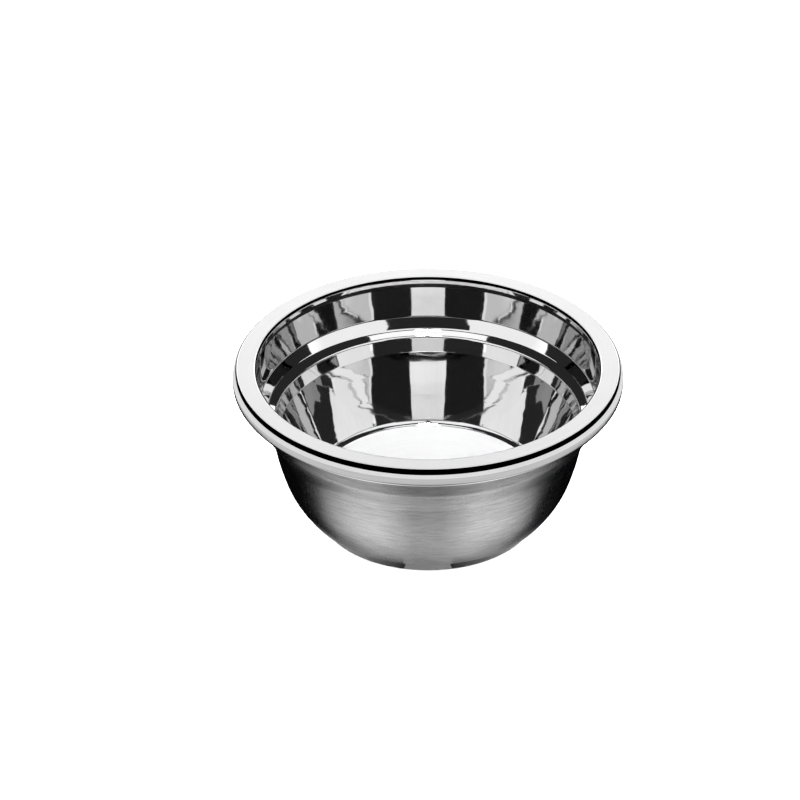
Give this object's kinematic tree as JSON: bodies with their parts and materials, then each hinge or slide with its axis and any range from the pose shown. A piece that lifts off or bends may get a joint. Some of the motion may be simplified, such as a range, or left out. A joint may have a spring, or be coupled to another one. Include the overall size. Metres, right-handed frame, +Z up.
{
  "type": "shaving bowl",
  "caption": "Double-walled steel lather bowl with a stepped mirror inside, a brushed outside, a wide rolled rim and a low foot ring.",
  "frame": {"origin": "on the axis, at the flat underside of the foot ring", "axes": "+Z up along the bowl's axis, out of its mouth; the bowl is round, so X and Y are any two level directions"},
  "size_m": [0.12, 0.12, 0.053],
  "materials": {
    "rim_steel": "mirror-polished stainless steel on top, fine-brushed on the lip",
    "mirror_steel": "mirror-polished stainless steel with a satin floor",
    "brushed_steel": "stainless steel brushed round the axis",
    "foot_steel": "polished stainless steel"
  },
  "bodies": {
    "root": {"rim_ring": "rim_steel", "inner_bowl": "mirror_steel", "outer_shell": "brushed_steel", "foot_ring": "foot_steel"}
  },
  "joints": []
}
